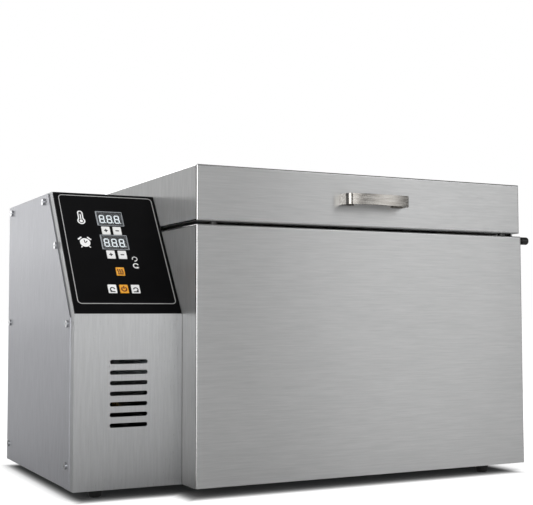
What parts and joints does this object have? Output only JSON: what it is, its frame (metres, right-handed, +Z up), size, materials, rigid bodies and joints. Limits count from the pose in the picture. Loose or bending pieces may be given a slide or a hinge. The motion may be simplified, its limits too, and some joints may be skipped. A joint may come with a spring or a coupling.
{
  "type": "drum roaster",
  "caption": "Countertop electric drum roaster: folded steel cabinet, rear-hinged lid with strap handle, hatched turning drum, side control box.",
  "frame": {"origin": "on the table, at the middle of the object's bounding box", "axes": "+X to the right as the user faces it, +Y to the back, +Z up"},
  "size_m": [0.6116, 0.375, 0.371],
  "materials": {
    "brushed_stainless": "brushed",
    "stainless_inner": "mill finish",
    "galvanised_steel": "galvanised",
    "drum_stainless": "satin",
    "nickel_handle": "satin nickel",
    "zinc_screws": "bright zinc",
    "hinge_steel": "satin",
    "black_rubber": "matte",
    "mineral_wool": "fibrous",
    "panel_film": "semi-gloss film",
    "window_film": "clear smoked",
    "display_body": "matte",
    "digit_white": "glossy",
    "circuit_board": "solder mask",
    "ivory_plastic": "moulded",
    "capacitor_case": "moulded",
    "motor_steel": "zinc plated",
    "gearbox_zinc": "die cast",
    "bronze": "turned",
    "heater_sheath": "heat darkened",
    "brass_fitting": "turned",
    "probe_steel": "polished",
    "black_plastic": "moulded",
    "key_white": "glossy",
    "key_orange": "glossy"
  },
  "bodies": {
    "cabinet": {"base_plate": "galvanised_steel", "feet": "black_rubber", "foot_screws": "zinc_screws", "cabinet_shell": "brushed_stainless", "cabinet_back": "brushed_stainless", "panel_screws": "zinc_screws", "chamber_trough": "stainless_inner", "chamber_ends": "stainless_inner", "insulation": "mineral_wool", "hinge_body_leaves": "hinge_steel", "hinge_pins": "hinge_steel", "control_box_wrap": "brushed_stainless", "control_box_inner_side": "brushed_stainless", "side_cover": "brushed_stainless", "control_box_back": "brushed_stainless", "mains_inlet": "black_plastic", "fascia_overlay": "panel_film", "display_windows": "window_film", "display_modules": "display_body", "display_digits": "digit_white", "control_board": "circuit_board", "power_board": "circuit_board", "terminal_block": "ivory_plastic", "motor_bracket": "galvanised_steel", "gearbox": "gearbox_zinc", "motor_can": "motor_steel", "motor_screws": "zinc_screws", "motor_capacitor": "capacitor_case", "drive_bearing": "bronze", "heater_tubes": "heater_sheath", "heater_fittings": "brass_fitting", "temperature_probe": "probe_steel", "tail_bearing": "bronze", "lock_bush": "brass_fitting"},
    "lid": {"lid_shell": "brushed_stainless", "lid_liner": "stainless_inner", "lid_insulation": "mineral_wool", "lid_handle": "nickel_handle", "lid_screws": "zinc_screws", "lid_bumpers": "black_rubber", "hinge_lid_leaves": "hinge_steel", "lock_keeper": "hinge_steel"},
    "drum": {"drum_shell": "drum_stainless", "drum_drive_end": "drum_stainless", "drum_tail_end": "drum_stainless", "drum_flights": "drum_stainless", "hatch_rails": "drum_stainless"},
    "hatch": {"drum_hatch": "drum_stainless"},
    "drive": {"drive_shaft": "probe_steel", "shaft_coupling": "motor_steel"},
    "lock": {"lock_bolt": "probe_steel", "lock_knob": "black_plastic"},
    "key_temp_up": {"key_temp_up": "key_white"},
    "key_temp_down": {"key_temp_down": "key_white"},
    "key_time_up": {"key_time_up": "key_white"},
    "key_time_down": {"key_time_down": "key_white"},
    "key_heat": {"key_heat": "key_orange"},
    "key_reverse": {"key_reverse": "key_white"},
    "key_motor": {"key_motor": "key_orange"},
    "key_forward": {"key_forward": "key_white"}
  },
  "joints": [
    {"name": "lid_hinge", "type": "hinge", "parent": "cabinet", "child": "lid", "pos_m": [0.05525, 0.1835, 0.30525], "axis": [-1, 0, 0], "range_deg": [0, 100]},
    {"name": "drum_spin", "type": "hinge", "parent": "cabinet", "child": "drum", "pos_m": [0.05525, 0.007, 0.17], "axis": [1, 0, 0], "continuous": true},
    {"name": "drive_spin", "type": "hinge", "parent": "cabinet", "child": "drive", "pos_m": [0.05525, 0.007, 0.17], "axis": [1, 0, 0], "continuous": true},
    {"name": "hatch_slide", "type": "hinge", "parent": "drum", "child": "hatch", "pos_m": [0.05525, 0.007, 0.17], "axis": [-1, 0, 0], "range_deg": [0, 62]},
    {"name": "lock_slide", "type": "slide", "parent": "cabinet", "child": "lock", "axis": [-1, 0, 0], "range_m": [0, 0.0055]},
    {"name": "key_temp_up_press", "type": "slide", "parent": "cabinet", "child": "key_temp_up", "axis": [0, 0.8331, -0.5531], "range_m": [0, 0.0005], "stiffness_N_per_m": 1500},
    {"name": "key_temp_down_press", "type": "slide", "parent": "cabinet", "child": "key_temp_down", "axis": [0, 0.8331, -0.5531], "range_m": [0, 0.0005], "stiffness_N_per_m": 1500},
    {"name": "key_time_up_press", "type": "slide", "parent": "cabinet", "child": "key_time_up", "axis": [0, 0.8331, -0.5531], "range_m": [0, 0.0005], "stiffness_N_per_m": 1500},
    {"name": "key_time_down_press", "type": "slide", "parent": "cabinet", "child": "key_time_down", "axis": [0, 0.8331, -0.5531], "range_m": [0, 0.0005], "stiffness_N_per_m": 1500},
    {"name": "key_heat_press", "type": "slide", "parent": "cabinet", "child": "key_heat", "axis": [0, 0.8331, -0.5531], "range_m": [0, 0.0005], "stiffness_N_per_m": 1500},
    {"name": "key_reverse_press", "type": "slide", "parent": "cabinet", "child": "key_reverse", "axis": [0, 0.8331, -0.5531], "range_m": [0, 0.0005], "stiffness_N_per_m": 1500},
    {"name": "key_motor_press", "type": "slide", "parent": "cabinet", "child": "key_motor", "axis": [0, 0.8331, -0.5531], "range_m": [0, 0.0005], "stiffness_N_per_m": 1500},
    {"name": "key_forward_press", "type": "slide", "parent": "cabinet", "child": "key_forward", "axis": [0, 0.8331, -0.5531], "range_m": [0, 0.0005], "stiffness_N_per_m": 1500}
  ],
  "couplings": [
    {"joint": "drive_spin", "follows": "drum_spin", "ratio": 1}
  ]
}
